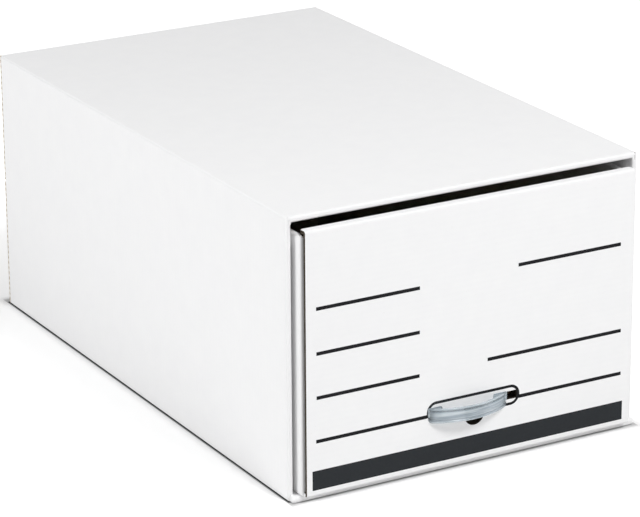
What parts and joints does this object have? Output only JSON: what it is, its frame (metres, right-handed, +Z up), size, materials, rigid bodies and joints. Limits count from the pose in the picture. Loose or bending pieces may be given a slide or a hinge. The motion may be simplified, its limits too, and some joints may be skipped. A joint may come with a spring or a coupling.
{
  "type": "file storage drawer box",
  "caption": "Corrugated board file box: an open-fronted sleeve with a sliding drawer, a ruled front panel and a bowed clear plastic pull.",
  "frame": {"origin": "middle of the sleeve's footprint, on the plane it stands on", "axes": "+Z up, -Y out of the front (the way the drawer opens), +X to the right as seen from the front"},
  "size_m": [0.415, 0.699, 0.3],
  "materials": {
    "white_board": "matte",
    "printed_board": "satin",
    "clear_plastic": "gloss"
  },
  "bodies": {
    "sleeve": {"sleeve_bottom": "white_board", "sleeve_inner_floor": "white_board", "sleeve_left_side": "white_board", "sleeve_right_side": "white_board", "sleeve_top": "white_board", "sleeve_top_return": "white_board", "sleeve_left_return": "white_board", "sleeve_right_return": "white_board", "sleeve_glue_flap": "white_board", "sleeve_back_left_flap": "white_board", "sleeve_back_right_flap": "white_board", "sleeve_back_top_flap": "white_board", "sleeve_back_bottom_flap": "white_board"},
    "drawer": {"drawer_bottom": "white_board", "drawer_left_side": "white_board", "drawer_right_side": "white_board", "drawer_left_inner_side": "white_board", "drawer_right_inner_side": "white_board", "drawer_front_panel": "printed_board", "drawer_front_top_edge": "white_board", "drawer_front_inner_panel": "white_board", "drawer_front_left_flap": "white_board", "drawer_front_right_flap": "white_board", "drawer_back_panel": "white_board", "drawer_back_top_edge": "white_board", "drawer_back_inner_panel": "white_board", "drawer_back_left_flap": "white_board", "drawer_back_right_flap": "white_board", "handle": "clear_plastic"}
  },
  "joints": [
    {"name": "drawer_slide", "type": "slide", "parent": "sleeve", "child": "drawer", "axis": [0, -1, 0], "range_m": [-0.015, 0.54]}
  ]
}
